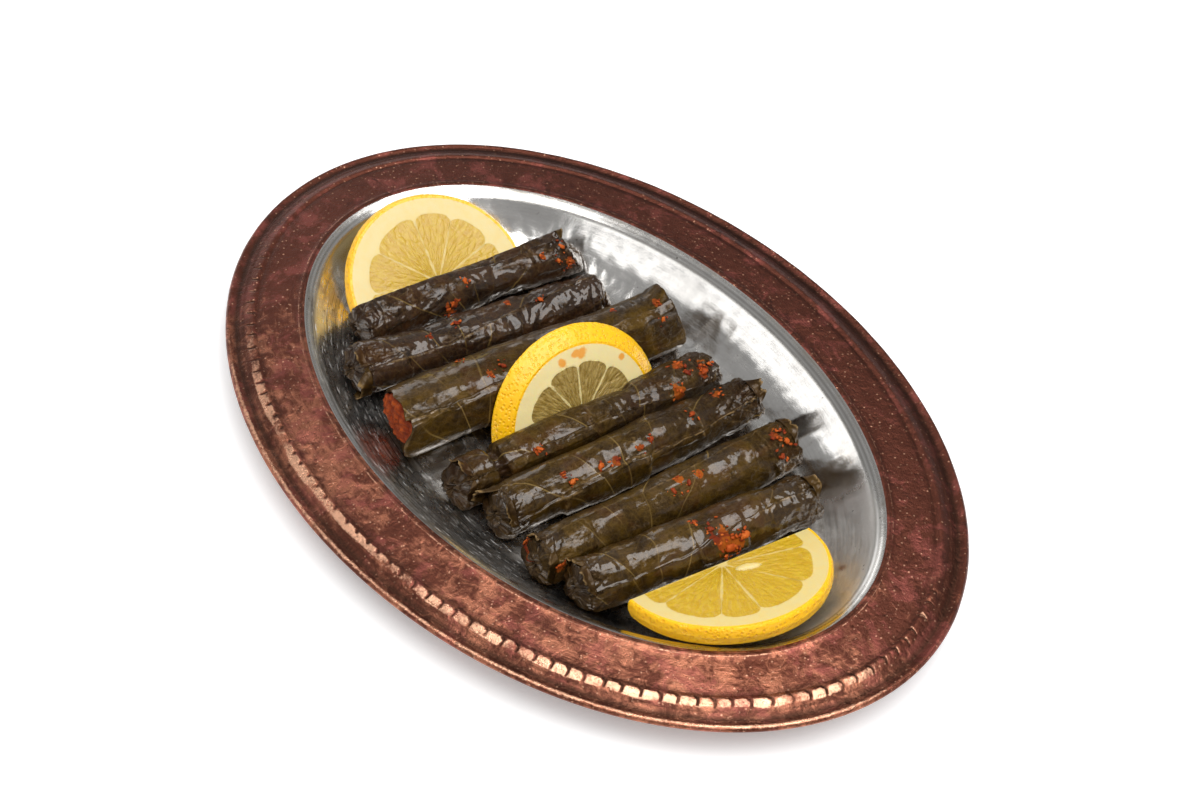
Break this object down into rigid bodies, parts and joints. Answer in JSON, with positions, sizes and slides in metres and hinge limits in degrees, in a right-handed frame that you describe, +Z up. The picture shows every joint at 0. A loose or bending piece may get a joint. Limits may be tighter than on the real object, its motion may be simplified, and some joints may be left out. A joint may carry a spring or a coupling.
{
  "type": "dish of stuffed vine leaves",
  "caption": "Oval hammered copper dish, tinned inside, with long stuffed vine leaf rolls side by side and half slices of lemon.",
  "frame": {"origin": "middle of the dish's flat foot, on the surface it stands on", "axes": "+X along the long side of the oval, +Y across it, +Z up"},
  "size_m": [0.26, 0.184, 0.0279],
  "materials": {
    "dish": "hammered copper rim, worn and browned, with a bright tinned well",
    "leaf_dark": "cooked vine leaf, dark brown, wrinkled and oily",
    "leaf_olive": "cooked vine leaf, dark olive, veined and oily",
    "filling": "moist orange-red rice and pepper filling",
    "lemon": "fresh lemon: pored yellow rind, cream pith, wet pulp"
  },
  "bodies": {
    "root": {"dish": "dish", "dolma_1": "leaf_dark", "dolma_2": "leaf_dark", "dolma_3": "leaf_olive", "dolma_4": "leaf_olive", "dolma_5": "leaf_olive", "dolma_6": "leaf_olive", "dolma_7": "leaf_olive", "filling_3": "filling", "lemon_slice_a": "lemon", "lemon_slice_b": "lemon", "lemon_slice_c": "lemon"}
  },
  "joints": []
}
